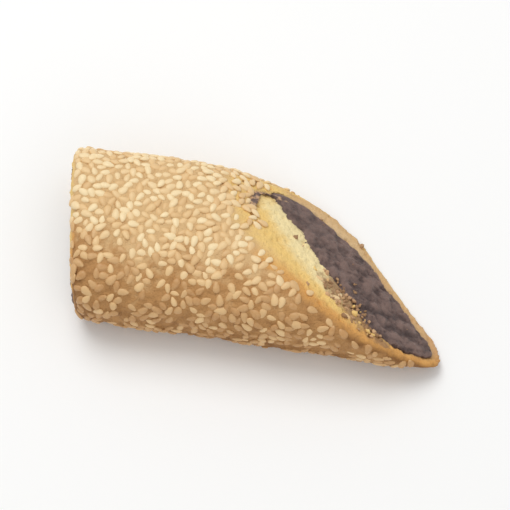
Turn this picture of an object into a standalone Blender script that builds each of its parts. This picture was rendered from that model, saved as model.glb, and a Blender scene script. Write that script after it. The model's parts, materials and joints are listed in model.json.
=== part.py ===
"""Date biscuit: a slice of a flattened roll of dough, filled with date paste and coated with sesame.

The roll lies along X on its flat base, at Z = 0. One end is cut nearly square. The other is cut on the
bias, both in plan and in side view, so that its face looks up and shows the layers: a thick domed top
of dough, a dark band of date paste that rises at the back and ends in a thin tail, and a thin base.
"""

import math
import random

import bmesh
import bpy
from mathutils import Matrix, Vector, noise

MM = 0.001

# Roll, across its length
ROLL_HALF_WIDTH = 20.0 * MM
WAIST_HEIGHT = 8.5 * MM
TOP_RISE = 12.3 * MM
BASE_DROP = 9.1 * MM
TOP_POWER = 3.0
BASE_POWER = 3.0
ROLL_HEIGHT = WAIST_HEIGHT + TOP_RISE

# Cuts: how far each is from the middle, and how its face leans with Y and with Z
SQUARE_CUT_X = -32.7 * MM
SQUARE_CUT_PLAN = 0.18
SQUARE_CUT_LEAN = -0.03
SQUARE_CUT_SLOPE = math.hypot(1, SQUARE_CUT_PLAN, SQUARE_CUT_LEAN)
BIAS_CUT_X = 27.0 * MM
BIAS_CUT_PLAN = 0.9
BIAS_CUT_LEAN = 1.7
BIAS_CUT_SLOPE = math.hypot(1, BIAS_CUT_PLAN, BIAS_CUT_LEAN)

# Edges that baking has rounded: how far along the roll, and how deep at the base and at the top
SQUARE_EDGE_REACH = 4.5 * MM
BIAS_EDGE_REACH = 8.0 * MM
BASE_EDGE_DEPTH = 0.7 * MM
TOP_EDGE_DEPTH = 2.4 * MM

# Unevenness of the baked dough
LUMP_SIZE = 17.0 * MM
LUMP_DEPTH = 0.75 * MM
CRUMB_SIZE = 4.0 * MM
CRUMB_DEPTH = 0.5 * MM

# Date paste: a flat band that rises gently towards the back, then a blunt curl with a thin, straight tail
BAND_HALF_THICKNESS = 4.3 * MM
BAND_HEIGHT = 6.6 * MM
BAND_FRONT_Y = -12.8 * MM
RISE_START_Y = 4.4 * MM
RISE_RADIUS = 21.0 * MM
RISE_TURN = math.radians(25)
CURL_HALF_THICKNESS = 3.0 * MM
CURL_RADIUS = 3.4 * MM
CURL_TURN = math.radians(125)
CURL_BLUNT_SHARE = 0.45
TAIL_LENGTH = 5.0 * MM
TAIL_HALF_THICKNESS = 0.3 * MM
PASTE_BULGE = 0.55 * MM
PASTE_EDGE_INSET = 0.8 * MM
MOST_SHRUNK = 0.6
PASTE_GAP = 0.3 * MM
HOLE_OVERRUN = 6.0 * MM

# Sesame: the seeds keep this far from the cuts, and above this height
SEED_LENGTH = 3.2 * MM
SEED_WIDTH = 2.0 * MM
SEED_THICKNESS = 1.1 * MM
SEED_TAPER = 0.38
SEED_LIFT = 0.12 * MM
SEED_SPACING = 3.9 * MM
SEED_CLEAR_OF_CUT = 1.9 * MM
SEED_LOWEST = 2.2 * MM
SEED_TRIES = 9000
SEED_FIRST_ANGLE = math.radians(-45)
SEED_LAST_ANGLE = math.radians(225)

# Faces
ROUND_STEPS = 44
CAP_RINGS = 4
BODY_STATIONS = 9
EDGE_STATIONS = 4
EDGE_CROWDING = 1.6
BAND_STEPS = 5
RISE_STEPS = 4
CURL_STEPS = 9
TAIL_STEPS = 2
NOSE_STEPS = 8
PASTE_STATIONS = 4
SEED_SIDES = 6
SEED_RINGS = 4
SHARP_ANGLE = math.radians(35)
SLOPE_STEP = 0.002

DRAW = random.Random(7)
CENTRE_Y = 0.0
CENTRE_Z = WAIST_HEIGHT


def signed_power(value, power):
    return math.copysign(abs(value) ** power, value)


def roll_outline(angle):
    """(y, z) on the roll's outline, counted from the back over the top, with a flat base."""
    over_waist = math.sin(angle) >= 0
    power = 2 / (TOP_POWER if over_waist else BASE_POWER)
    rise = TOP_RISE if over_waist else BASE_DROP
    y = ROLL_HALF_WIDTH * signed_power(math.cos(angle), power)
    z = WAIST_HEIGHT + rise * signed_power(math.sin(angle), power)
    return y, max(z, 0.0)


def square_cut(y, z):
    """X of the square cut at this place in the section."""
    return SQUARE_CUT_X - SQUARE_CUT_PLAN * y + SQUARE_CUT_LEAN * (z - ROLL_HEIGHT / 2)


def bias_cut(y, z):
    """X of the bias cut at this place in the section."""
    return BIAS_CUT_X - BIAS_CUT_PLAN * y - BIAS_CUT_LEAN * (z - ROLL_HEIGHT / 2)


def rounding(distance, reach, height):
    """How far an edge falls back at this distance from a cut."""
    if distance >= reach:
        return 0.0
    share = 1 - distance / reach
    depth = BASE_EDGE_DEPTH + (TOP_EDGE_DEPTH - BASE_EDGE_DEPTH) * height / ROLL_HEIGHT
    return depth * (1 - math.sqrt(1 - share * share))


def crust_point(along, angle):
    """A point of the crust: along runs from 0 at the square cut to 1 at the bias cut."""
    y, z = roll_outline(angle)
    length = bias_cut(y, z) - square_cut(y, z)
    inset = rounding(along * length, SQUARE_EDGE_REACH, z)
    inset += rounding((1 - along) * length, BIAS_EDGE_REACH, z)
    x = square_cut(y, z) + along * length
    lump = noise.noise(Vector((x, y, z)) / LUMP_SIZE) * LUMP_DEPTH * min(1.0, z / WAIST_HEIGHT)
    radius = math.hypot(y - CENTRE_Y, z - CENTRE_Z)
    scale = 1 - (inset - lump) / radius
    y = CENTRE_Y + (y - CENTRE_Y) * scale
    z = max(CENTRE_Z + (z - CENTRE_Z) * scale, 0.0)
    left, right = square_cut(y, z), bias_cut(y, z)
    return Vector((left + along * (right - left), y, z))


def crust_stations():
    """Shares of the length at which the crust has a ring of points, closer together at the edges."""
    length = BIAS_CUT_X - SQUARE_CUT_X
    first, last = SQUARE_EDGE_REACH / length, 1 - BIAS_EDGE_REACH / length
    steps = [step / EDGE_STATIONS for step in range(EDGE_STATIONS)]
    opening = [first * share**EDGE_CROWDING for share in steps]
    middle = [first + (last - first) * step / BODY_STATIONS for step in range(BODY_STATIONS)]
    closing = [1 - (1 - last) * (1 - share) ** EDGE_CROWDING for share in steps]
    return opening + middle + closing + [1.0]


def add_ring(bm, points):
    return [bm.verts.new(point) for point in points]


def bridge(bm, ring, following):
    """Quads between two rings with the same number of points."""
    for i, point in enumerate(ring):
        j = (i + 1) % len(ring)
        bm.faces.new((point, following[i], following[j], ring[j]))


def close_cut(bm, rim, cut):
    """Fills a cut face from its rim inwards with crumbly dough."""
    ring = rim
    for step in range(1, CAP_RINGS + 1):
        share = 1 - step / (CAP_RINGS + 1)
        points = []
        for vertex in rim:
            y = CENTRE_Y + (vertex.co.y - CENTRE_Y) * share
            z = CENTRE_Z + (vertex.co.z - CENTRE_Z) * share
            place = Vector((cut(y, z), y, z))
            place.x += noise.noise(place / CRUMB_SIZE) * CRUMB_DEPTH
            points.append(place)
        inner = add_ring(bm, points)
        bridge(bm, ring, inner)
        ring = inner
    hub = bm.verts.new((cut(CENTRE_Y, CENTRE_Z), CENTRE_Y, CENTRE_Z))
    for i, point in enumerate(ring):
        bm.faces.new((point, hub, ring[(i + 1) % len(ring)]))


def object_from(bm, name, material):
    """Turns a bmesh into an object whose faces point outwards."""
    bmesh.ops.recalc_face_normals(bm, faces=bm.faces)
    mesh = bpy.data.meshes.new(name)
    bm.to_mesh(mesh)
    bm.free()
    mesh.shade_smooth()
    mesh.set_sharp_from_angle(angle=SHARP_ANGLE)
    obj = bpy.data.objects.new(name, mesh)
    bpy.context.scene.collection.objects.link(obj)
    obj.data.materials.append(material)
    return obj


def finish_material(name, colour, roughness):
    """A plain finish: colour is linear red, green and blue."""
    material = bpy.data.materials.new(name)
    material.use_nodes = True
    shader = material.node_tree.nodes["Principled BSDF"]
    shader.inputs["Base Color"].default_value = (*colour, 1.0)
    shader.inputs["Roughness"].default_value = roughness
    shader.inputs["Metallic"].default_value = 0.0
    return material


def build_roll(material):
    """The dough as a solid slice of the roll, before the paste has its place in it."""
    bm = bmesh.new()
    angles = [2 * math.pi * step / ROUND_STEPS for step in range(ROUND_STEPS)]
    rings = [add_ring(bm, [crust_point(along, a) for a in angles]) for along in crust_stations()]
    for ring, following in zip(rings, rings[1:]):
        bridge(bm, ring, following)
    close_cut(bm, rings[0], square_cut)
    close_cut(bm, rings[-1], bias_cut)
    return object_from(bm, "sesame_dough", material)


def paste_centre_line():
    """(y, z, heading, half thickness) along the paste, from its front edge to the tip of its tail."""
    line = []
    for step in range(BAND_STEPS):
        y = BAND_FRONT_Y + (RISE_START_Y - BAND_FRONT_Y) * step / BAND_STEPS
        line.append((y, BAND_HEIGHT, 0.0, BAND_HALF_THICKNESS))
    for step in range(RISE_STEPS + 1):
        share = step / RISE_STEPS
        heading = RISE_TURN * share
        y = RISE_START_Y + RISE_RADIUS * math.sin(heading)
        z = BAND_HEIGHT + RISE_RADIUS * (1 - math.cos(heading))
        lost = (BAND_HALF_THICKNESS - CURL_HALF_THICKNESS) * share
        line.append((y, z, heading, BAND_HALF_THICKNESS - lost))
    middle_y, middle_z = y - CURL_RADIUS * math.sin(heading), z + CURL_RADIUS * math.cos(heading)
    for step in range(1, CURL_STEPS + 1):
        share = step / CURL_STEPS
        heading = RISE_TURN + CURL_TURN * share
        y = middle_y + CURL_RADIUS * math.sin(heading)
        z = middle_z - CURL_RADIUS * math.cos(heading)
        blunt = math.sqrt(max(0, 1 - (share / CURL_BLUNT_SHARE) ** 2))
        left = (CURL_HALF_THICKNESS - TAIL_HALF_THICKNESS) * blunt
        line.append((y, z, heading, TAIL_HALF_THICKNESS + left))
    for step in range(1, TAIL_STEPS + 1):
        ahead = TAIL_LENGTH * step / TAIL_STEPS
        place = (y + ahead * math.cos(heading), z + ahead * math.sin(heading))
        line.append((*place, heading, TAIL_HALF_THICKNESS))
    return line


def grown(half, grow):
    """Half thickness grown by this much. Where the paste is thin, it shrinks by no more than a share."""
    return half + max(grow, -MOST_SHRUNK * half)


def paste_outline(grow):
    """The paste's outline in the section, grown by this much all round, as a closed list of (y, z)."""
    line = paste_centre_line()
    under, over = [], []
    for y, z, heading, half in line:
        reach = grown(half, grow)
        over.append((y - reach * math.sin(heading), z + reach * math.cos(heading)))
        under.append((y + reach * math.sin(heading), z - reach * math.cos(heading)))
    front_y, front_z, _, front_half = line[0]
    nose = []
    for step in range(1, NOSE_STEPS):
        angle = math.pi / 2 + math.pi * step / NOSE_STEPS
        reach = grown(front_half, grow)
        nose.append((front_y + reach * math.cos(angle), front_z + reach * math.sin(angle)))
    tip_y, tip_z, tip_heading, tip_half = line[-1]
    reach = grown(tip_half, grow)
    tip = (tip_y + reach * math.cos(tip_heading), tip_z + reach * math.sin(tip_heading))
    return nose + under + [tip] + over[::-1]


def build_paste(name, material, stations):
    """A closed sweep of the paste's section. Each station is (share of the length, overrun, growth)."""
    bm = bmesh.new()
    rings = []
    for along, overrun, grow in stations:
        points = []
        for y, z in paste_outline(grow):
            left, right = square_cut(y, z), bias_cut(y, z)
            points.append(Vector((left + along * (right - left) + overrun, y, z)))
        rings.append(add_ring(bm, points))
    for ring, following in zip(rings, rings[1:]):
        bridge(bm, ring, following)
    bm.faces.new(rings[0])
    bm.faces.new(rings[-1])
    bmesh.ops.triangulate(bm, faces=[face for face in bm.faces if len(face.verts) > 4])
    return object_from(bm, name, material)


def paste_stations():
    """Stations of the paste, whose ends bulge a little past the cuts with a softened edge."""
    ends = [
        (PASTE_BULGE, -PASTE_EDGE_INSET),
        (PASTE_BULGE / 2, -PASTE_EDGE_INSET / 4),
        (-PASTE_BULGE, 0.0),
    ]
    opening = [(0.0, -overrun * SQUARE_CUT_SLOPE, grow) for overrun, grow in ends]
    middle = [(step / PASTE_STATIONS, 0.0, 0.0) for step in range(1, PASTE_STATIONS)]
    closing = [(1.0, overrun * BIAS_CUT_SLOPE, grow) for overrun, grow in reversed(ends)]
    return opening + middle + closing


def seed_mesh(material):
    """One sesame seed: a flat drop, pointed at one end."""
    bm = bmesh.new()
    bmesh.ops.create_uvsphere(bm, u_segments=SEED_SIDES, v_segments=SEED_RINGS, radius=0.5)
    for vertex in bm.verts:
        across, up, ahead = vertex.co
        taper = 1 - 2 * SEED_TAPER * ahead
        length, width = ahead * SEED_LENGTH, across * taper * SEED_WIDTH
        vertex.co = (length, width, up * taper * SEED_THICKNESS)
    bmesh.ops.recalc_face_normals(bm, faces=bm.faces)
    mesh = bpy.data.meshes.new("sesame_seed")
    bm.to_mesh(mesh)
    bm.free()
    mesh.materials.append(material)
    return mesh


def crust_frame(along, angle):
    """(place, outward normal, direction along the roll) on the crust."""
    place = crust_point(along, angle)
    before, after = max(along - SLOPE_STEP, 0), min(along + SLOPE_STEP, 1)
    ahead = crust_point(after, angle) - crust_point(before, angle)
    round_it = crust_point(along, angle + SLOPE_STEP) - crust_point(along, angle - SLOPE_STEP)
    normal = ahead.cross(round_it).normalized()
    if normal.dot(place - Vector((place.x, CENTRE_Y, CENTRE_Z))) < 0:
        normal = -normal
    return place, normal, ahead.normalized()


def takes_seed(place):
    """Seeds keep off the edge beside each cut, and off the base."""
    from_square = (place.x - square_cut(place.y, place.z)) / SQUARE_CUT_SLOPE
    from_bias = (bias_cut(place.y, place.z) - place.x) / BIAS_CUT_SLOPE
    return min(from_square, from_bias) > SEED_CLEAR_OF_CUT and place.z > SEED_LOWEST


def seed_places():
    """Places for the seeds, drawn at random and kept where they are far enough apart."""
    kept = []
    for _ in range(SEED_TRIES):
        along, angle = DRAW.random(), DRAW.uniform(SEED_FIRST_ANGLE, SEED_LAST_ANGLE)
        place, normal, ahead = crust_frame(along, angle)
        if takes_seed(place) and all((place - other[0]).length > SEED_SPACING for other in kept):
            kept.append((place, normal, ahead))
    return kept


def scatter_seeds(material):
    """One object for each seed, in a collection of their own."""
    collection = bpy.data.collections.new("seeds")
    bpy.context.scene.collection.children.link(collection)
    mesh = seed_mesh(material)
    for place, normal, ahead in seed_places():
        spin = DRAW.uniform(0, 2 * math.pi)
        forward = Matrix.Rotation(spin, 3, normal) @ ahead
        across = normal.cross(forward).normalized()
        forward = across.cross(normal)
        seed = bpy.data.objects.new("seed", mesh)
        seed.rotation_euler = Matrix((forward, across, normal)).transposed().to_euler()
        seed.location = place + normal * SEED_LIFT
        collection.objects.link(seed)
    return collection


def apply_modifiers(obj):
    """Replaces the object's mesh by what its modifiers make of it."""
    bpy.context.view_layer.update()
    graph = bpy.context.evaluated_depsgraph_get()
    made = bpy.data.meshes.new_from_object(obj.evaluated_get(graph))
    obj.modifiers.clear()
    obj.data = made


def keep_largest_shell(obj):
    """Drops loose scraps and sealed hollows that fusing the seeds may leave."""
    bm = bmesh.new()
    bm.from_mesh(obj.data)
    waiting, shells = set(bm.verts), []
    while waiting:
        front, shell = [waiting.pop()], []
        while front:
            vertex = front.pop()
            shell.append(vertex)
            for edge in vertex.link_edges:
                other = edge.other_vert(vertex)
                if other in waiting:
                    waiting.remove(other)
                    front.append(other)
        shells.append(shell)
    shells.sort(key=len)
    scraps = [vertex for shell in shells[:-1] for vertex in shell]
    bmesh.ops.delete(bm, geom=scraps, context="VERTS")
    bm.to_mesh(obj.data)
    bm.free()


def fuse_seeds(dough, seeds):
    """Joins every seed to the dough with one Boolean, then removes the loose seeds."""
    fuse = dough.modifiers.new("fuse_seeds", "BOOLEAN")
    fuse.operation = "UNION"
    fuse.solver = "EXACT"
    fuse.operand_type = "COLLECTION"
    fuse.collection = seeds
    apply_modifiers(dough)
    for seed in list(seeds.objects):
        bpy.data.objects.remove(seed)
    bpy.data.collections.remove(seeds)
    keep_largest_shell(dough)


def cut_paste_hole(dough, material):
    """Opens the place of the paste right through the dough."""
    stations = [(0.0, -HOLE_OVERRUN, PASTE_GAP), (1.0, HOLE_OVERRUN, PASTE_GAP)]
    hole = build_paste("paste_hole", material, stations)
    cut = dough.modifiers.new("cut_hole", "BOOLEAN")
    cut.operation = "DIFFERENCE"
    cut.solver = "EXACT"
    cut.object = hole
    apply_modifiers(dough)
    bpy.data.objects.remove(hole)


def centre_on_base(objects):
    """Moves the whole biscuit so that its box stands centred on the origin."""
    corners = [vertex.co for obj in objects for vertex in obj.data.vertices]
    lows = [min(corner[axis] for corner in corners) for axis in range(3)]
    highs = [max(corner[axis] for corner in corners) for axis in range(3)]
    shift = Vector((-(lows[0] + highs[0]) / 2, -(lows[1] + highs[1]) / 2, -lows[2]))
    for obj in objects:
        obj.data.transform(Matrix.Translation(shift))


def main():
    for obj in list(bpy.data.objects):
        bpy.data.objects.remove(obj)
    dough_finish = finish_material("baked_dough", (0.55, 0.33, 0.13), 0.65)
    paste_finish = finish_material("date_paste", (0.055, 0.028, 0.02), 0.45)
    dough = build_roll(dough_finish)
    cut_paste_hole(dough, dough_finish)
    fuse_seeds(dough, scatter_seeds(dough_finish))
    paste = build_paste("date_filling", paste_finish, paste_stations())
    centre_on_base([dough, paste])


main()
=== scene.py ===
"""Dresses the date biscuit: baked crust, crumbly cut faces, date paste, sesame and crumbs on a pale stage.

Sizes repeat those of the solid model, so each piece keeps the form of the node that it replaces. Shapes are
worked out in the roll's own coordinates, and roll_to_frame gives the move from there to the frame.
"""

import json
import math

import bmesh
import bpy
import numpy as np
from bpy.props import FloatProperty, FloatVectorProperty, IntProperty, PointerProperty
from bpy.types import Operator, Panel, PropertyGroup
from mathutils import Matrix, Vector, noise

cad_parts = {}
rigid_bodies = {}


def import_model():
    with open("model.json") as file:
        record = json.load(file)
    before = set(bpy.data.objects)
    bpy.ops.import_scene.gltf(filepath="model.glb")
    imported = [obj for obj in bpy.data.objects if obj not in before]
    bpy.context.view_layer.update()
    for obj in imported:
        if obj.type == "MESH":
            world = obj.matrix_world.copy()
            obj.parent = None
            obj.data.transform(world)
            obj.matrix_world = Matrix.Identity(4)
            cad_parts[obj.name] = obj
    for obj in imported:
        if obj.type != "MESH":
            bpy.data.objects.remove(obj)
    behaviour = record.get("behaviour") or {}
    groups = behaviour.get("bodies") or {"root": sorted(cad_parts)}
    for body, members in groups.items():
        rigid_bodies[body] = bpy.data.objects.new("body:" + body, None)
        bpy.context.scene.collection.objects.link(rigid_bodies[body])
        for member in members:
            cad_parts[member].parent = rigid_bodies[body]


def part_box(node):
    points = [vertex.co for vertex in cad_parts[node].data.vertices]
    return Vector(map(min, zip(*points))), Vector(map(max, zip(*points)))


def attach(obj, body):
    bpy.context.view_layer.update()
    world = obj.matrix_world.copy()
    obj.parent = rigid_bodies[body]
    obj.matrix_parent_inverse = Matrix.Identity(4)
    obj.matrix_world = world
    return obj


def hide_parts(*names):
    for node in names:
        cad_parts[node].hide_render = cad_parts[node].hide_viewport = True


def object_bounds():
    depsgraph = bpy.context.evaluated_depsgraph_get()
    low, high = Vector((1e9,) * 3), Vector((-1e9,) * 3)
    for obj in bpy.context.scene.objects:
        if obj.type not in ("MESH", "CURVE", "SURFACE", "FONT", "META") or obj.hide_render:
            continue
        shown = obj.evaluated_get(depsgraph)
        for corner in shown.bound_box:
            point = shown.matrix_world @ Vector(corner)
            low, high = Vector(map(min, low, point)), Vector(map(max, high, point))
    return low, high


bl_info = {
    "name": "Date Biscuit",
    "version": (1, 0, 0),
    "blender": (4, 5, 0),
    "location": "View3D > Sidebar > Biscuit",
    "description": "Builds a sesame date biscuit from a few sizes and colours",
    "category": "Add Mesh",
}

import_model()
CAD_BOX = [list(corner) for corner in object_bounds()]
MM = 0.001

# Pressing flat at the base: depth that is squeezed, and height at which the lowest loose pieces end
SQUEEZED = 0.5 * MM
OFF_FLOOR = 0.02 * MM

# Points round the roll, rings along it and rings over a cut
SOWN_STEPS = (120, 70, 30)
DOUGH_STEPS = (150, 110, 14)
CRUMB_STEPS = (120, 40)
RIM_STEPS = 360

# Rings over a cut are its rim shrunk to shares between these
INNERMOST = 0.02
OUTERMOST_SOWN = 0.96
OUTERMOST_CRUMBS = 0.93

# Rings along the paste, along the place cut out for it, and over each of its rounded ends
PASTE_STEPS = 40
PLACE_STEPS = 30
END_STEPS = 7
PLACE_OVERRUN = 8 * MM

# Sowing: width of bare crust low on a cut, fade beside it, seeds missing in front and below, and patchiness
LOW_BARE = 1.8 * MM
BARE_FADE = 0.9 * MM
FEWER_IN_FRONT = 0.32
FEWER_BELOW = 0.5
SOW_LEVEL = 1.2
SOW_SWING = 0.3
SOW_PATCH = 9 * MM
ON_CUT = 0.01 * MM

# Candidates for each square metre: enough that the least distance alone decides how many stay
CANDIDATES = 6.0e6
PILE_DRAW = 8
TONE_DRAW = 3

# Tone of a seed: how much the toasting and painted shade of the crust below add to it, and how much painted
# shade the front of the roll adds
TONE_OF_TOAST = 0.9
FRONT_SHADE_ON_SEEDS = 0.3

# Plumpness and bend of each kind of seed, and how much less its thickness tapers than its width
SEED_FORMS = ((1.0, 0.0), (0.9, 0.07), (1.08, -0.05), (1.0, 0.1))
SEED_SIDES = 8
SEED_RINGS = 6
THICKNESS_TAPER = 0.6

# Kinds of crumb, the step between their noises, size and depth of its lumps, and flatness
CRUMB_FORMS = 4
CRUMB_STEP = 7.3
CRUMB_LUMP = 0.45
CRUMB_ROUGHNESS = 0.9
CRUMB_FLATNESS = 0.6
STRAY_CRUMBS = 0.008
STUCK_CRUMBS = 0.8

# The toasted skin beside the square cut, and at the back of the bias cut, is this many times narrower
SQUARE_NARROWER = 3
BACK_NARROWER = 1.8
LIP_STEP = 1.8 * MM
UNDER_SLOPE = 0.25

# Most values of a noise texture lie between these
NOISE_LOW = 0.25
NOISE_HIGH = 0.75

# Places and sizes of the two soft lamps, in metres from the frame's origin
KEY_PLACE = (-0.25, 0.3, 0.75)
KEY_SIDE = 0.6
FILL_PLACE = (0.35, -0.6, 0.45)
FILL_SIDE = 0.7

# Sizes that the node trees take, named as in the property groups
DOUGH_RELIEF = (
    "crumb_size",
    "crumb_depth",
    "pore_size",
    "pore_depth",
    "wrinkle_size",
    "wrinkle_depth",
    "seed_rise",
    "seed_reach",
    "swell",
    "base_lift",
)
PASTE_RELIEF = ("paste_lump_size", "paste_lump_depth", "fibre_size", "fibre_depth", "base_lift")
SOWING = ("spacing", "sink", "pile", "smallest", "largest", "tilt")


# Properties


def linear(code):
    """Linear red, green and blue of an sRGB hex colour."""
    channels = [int(code[i : i + 2], 16) / 255 for i in (1, 3, 5)]
    return tuple(c / 12.92 if c <= 0.04045 else ((c + 0.055) / 1.055) ** 2.4 for c in channels)


def length(name, millimetres, description):
    """A size that a user can change, stored in metres."""
    default = millimetres * MM
    return FloatProperty(
        name=name, description=description, default=default, precision=5, subtype="DISTANCE", unit="LENGTH"
    )


def number(name, value, description):
    """A plain ratio or strength."""
    return FloatProperty(name=name, description=description, default=value, precision=3)


def turn(name, degrees, description):
    """An angle, stored in radians."""
    default = math.radians(degrees)
    return FloatProperty(
        name=name, description=description, default=default, subtype="ANGLE", unit="ROTATION"
    )


def fixed_draw(value):
    """The number that fixes the random places."""
    return IntProperty(name="Draw", description="Number that fixes the random places", default=value, min=0)


def colour(name, code, description):
    """A colour, given as sRGB and stored as linear."""
    return FloatVectorProperty(
        name=name, description=description, default=linear(code), size=3, min=0, max=1, subtype="COLOR"
    )


class RollSizes(PropertyGroup):
    """Form of the flattened roll and of its two cuts."""

    half_width: length("Half width", 20.0, "Half of the roll's width")
    waist_height: length("Waist height", 8.5, "Height at which the roll is widest")
    top_rise: length("Top rise", 12.3, "How far the top stands above the waist")
    base_drop: length("Base drop", 9.1, "How far the underside curves down before it is flattened")
    top_power: number("Top squareness", 3.0, "Two is an ellipse, and more is squarer")
    base_power: number("Base squareness", 3.0, "Two is an ellipse, and more is squarer")
    square_cut_x: length("Square cut", -32.7, "Place of the nearly square cut")
    square_cut_plan: number("Square cut in plan", 0.18, "Slope of this cut seen from above")
    square_cut_lean: number("Square cut lean", -0.03, "Slope of this cut seen from the front")
    bias_cut_x: length("Bias cut", 27.0, "Place of the cut on the bias")
    bias_cut_plan: number("Bias cut in plan", 0.9, "Slope of this cut seen from above")
    bias_cut_lean: number("Bias cut lean", 1.7, "Slope of this cut seen from the front")
    square_edge_reach: length("Square edge reach", 4.5, "Length of crust that is rounded at the square cut")
    bias_edge_reach: length("Bias edge reach", 8.0, "Length of crust that is rounded at the bias cut")
    base_edge_depth: length("Edge depth at the base", 0.7, "How far the rounding falls back low down")
    top_edge_depth: length("Edge depth at the top", 2.4, "How far the rounding falls back at the top")
    lump_size: length("Lump size", 17.0, "Size of the crust's gentle unevenness")
    lump_depth: length("Lump depth", 0.75, "Depth of the crust's gentle unevenness")


class BakingStrengths(PropertyGroup):
    """How strongly the crust is browned in each place, as shares of the brownest. Most is the oven's
    browning, the front's share is partly painted shade, and the square end's share is painted shade.
    """

    everywhere: number("Everywhere", 0.1, "Browning of the whole crust")
    # Partly painted shade: the front is browner than the back.
    front: number("Front", 0.5, "More browning towards the front")
    low: number("Low on the sides", 0.25, "More browning low on the sides")
    base: number("Base", 0.4, "More browning where the roll lay on its tray")
    # Painted shade: the crust is darker towards the square cut, in front.
    shade_at_square_end: number("Square end", 0.2, "More browning towards the square cut, in front")
    edge: number("Edges", 0.3, "More browning beside a cut, in front")
    edge_at_back: number("Edges at the back", 0.3, "Share of the edges' browning that is left at the back")


class PasteSizes(PropertyGroup):
    """Form of the date paste: a flat band that rises at the back, a blunt curl and a thin tail."""

    band_half: length("Half thickness", 4.3, "Half of the band's thickness")
    band_height: length("Height", 6.6, "Height of the band's middle")
    band_front_y: length("Front end", -12.8, "Where the band's flat stretch starts")
    rise_start_y: length("Rise start", 4.4, "Where the band starts to rise")
    rise_radius: length("Rise radius", 21.0, "Radius of the rise's middle line")
    rise_turn: turn("Rise turn", 25, "How far the rise turns")
    curl_half: length("Curl half thickness", 3.0, "Half thickness where the curl starts")
    curl_radius: length("Curl radius", 3.4, "Radius of the curl's middle line")
    curl_turn: turn("Curl turn", 125, "How far the curl turns")
    curl_blunt: number("Curl blunt share", 0.45, "Share of the curl over which the paste rounds off")
    tail_length: length("Tail length", 5.0, "Length of the thin, straight tail")
    tail_half: length("Tail half thickness", 0.3, "Half of the tail's thickness")
    bulge: length("Bulge", 0.55, "How far the paste swells out of a cut")
    edge_inset: length("Edge inset", 0.8, "How far its edge is softened where it swells out")
    most_shrunk: number("Most shrunk", 0.6, "Largest share of its thickness that softening takes away")
    wobble_size: length("Wobble size", 5.0, "Length of the waves in the border between paste and dough")
    wobble_depth: length("Wobble depth", 0.45, "Depth of those waves")
    overlap: length("Overlap", 0.15, "How far the paste reaches into the dough, so that no gap shows")


class ReliefSizes(PropertyGroup):
    """Fine relief of the dough and of the paste."""

    voxel: length("Voxel", 0.42, "Size of the faces that carry the dough's relief")
    paste_voxel: length("Paste voxel", 0.34, "Size of the faces that carry the paste's relief")
    crumb_size: length("Crumb size", 2.4, "Size of the crumbs where the dough is cut")
    crumb_depth: length("Crumb depth", 0.42, "Depth of those crumbs")
    pore_size: length("Pore size", 2.0, "Spacing of the small holes where the dough is cut")
    pore_depth: length("Pore depth", 0.45, "Depth of those holes")
    wrinkle_size: length("Wrinkle size", 2.6, "Size of the crust's wrinkles")
    wrinkle_depth: length("Wrinkle depth", 0.2, "Depth of the crust's wrinkles")
    seed_rise: length("Rise at seeds", 0.28, "How far the dough stands up round a seed pressed into it")
    seed_reach: length("Reach of the rise", 0.75, "How far from a seed the dough still stands up")
    base_lift: length("Base lift", 0.2, "How far the seeds under the base hold the dough off the floor")
    swell: length("Swell", 0.5, "How far the cut dough has swollen between crust and paste")
    paste_lump_size: length("Paste lump size", 3.2, "Size of the lumps of chopped date")
    paste_lump_depth: length("Paste lump depth", 0.5, "Depth of those lumps")
    fibre_size: length("Fibre size", 0.9, "Size of the paste's torn fibres")
    fibre_depth: length("Fibre depth", 0.22, "Depth of those fibres")


class SesameSizes(PropertyGroup):
    """The seeds and how they are sown."""

    seed_length: length("Length", 2.8, "Length of a seed")
    seed_width: length("Width", 1.8, "Width of a seed")
    seed_thickness: length("Thickness", 0.95, "Thickness of a seed")
    taper: number("Taper", 0.34, "How much narrower the pointed end is")
    spacing: length("Spacing", 1.75, "Least distance between the middles of two seeds")
    sink: length("Sink", 0.02, "How deep the deepest seed's middle lies under the crust")
    pile: length("Pile", 0.28, "How much higher the topmost seeds lie, where two overlap")
    smallest: number("Smallest", 0.84, "Size of the smallest seed, as a share of the usual one")
    largest: number("Largest", 1.12, "Size of the largest seed, as a share of the usual one")
    tilt: turn("Tilt", 11, "How far a seed may lean")
    bare_edge: length("Bare edge", 0.1, "Width of the crust beside a cut that holds no seeds")
    stray: number("Stray seeds", 0.12, "How thickly seeds have fallen on the cut beside the paste")
    draw: fixed_draw(11)


class CrumbSizes(PropertyGroup):
    """Loose crumbs on the cut face."""

    size: length("Size", 1.1, "Width of a usual crumb")
    spacing: length("Spacing", 0.8, "Least distance between two crumbs")
    sink: length("Sink", 0.0, "How deep the deepest crumb's middle lies under the cut")
    pile: length("Pile", 0.5, "How much higher the topmost crumbs lie")
    smallest: number("Smallest", 0.35, "Size of the smallest crumb, as a share of the usual one")
    largest: number("Largest", 1.4, "Size of the largest crumb, as a share of the usual one")
    tilt: turn("Tilt", 180, "How far a crumb may lean")
    draw: fixed_draw(5)


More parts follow.
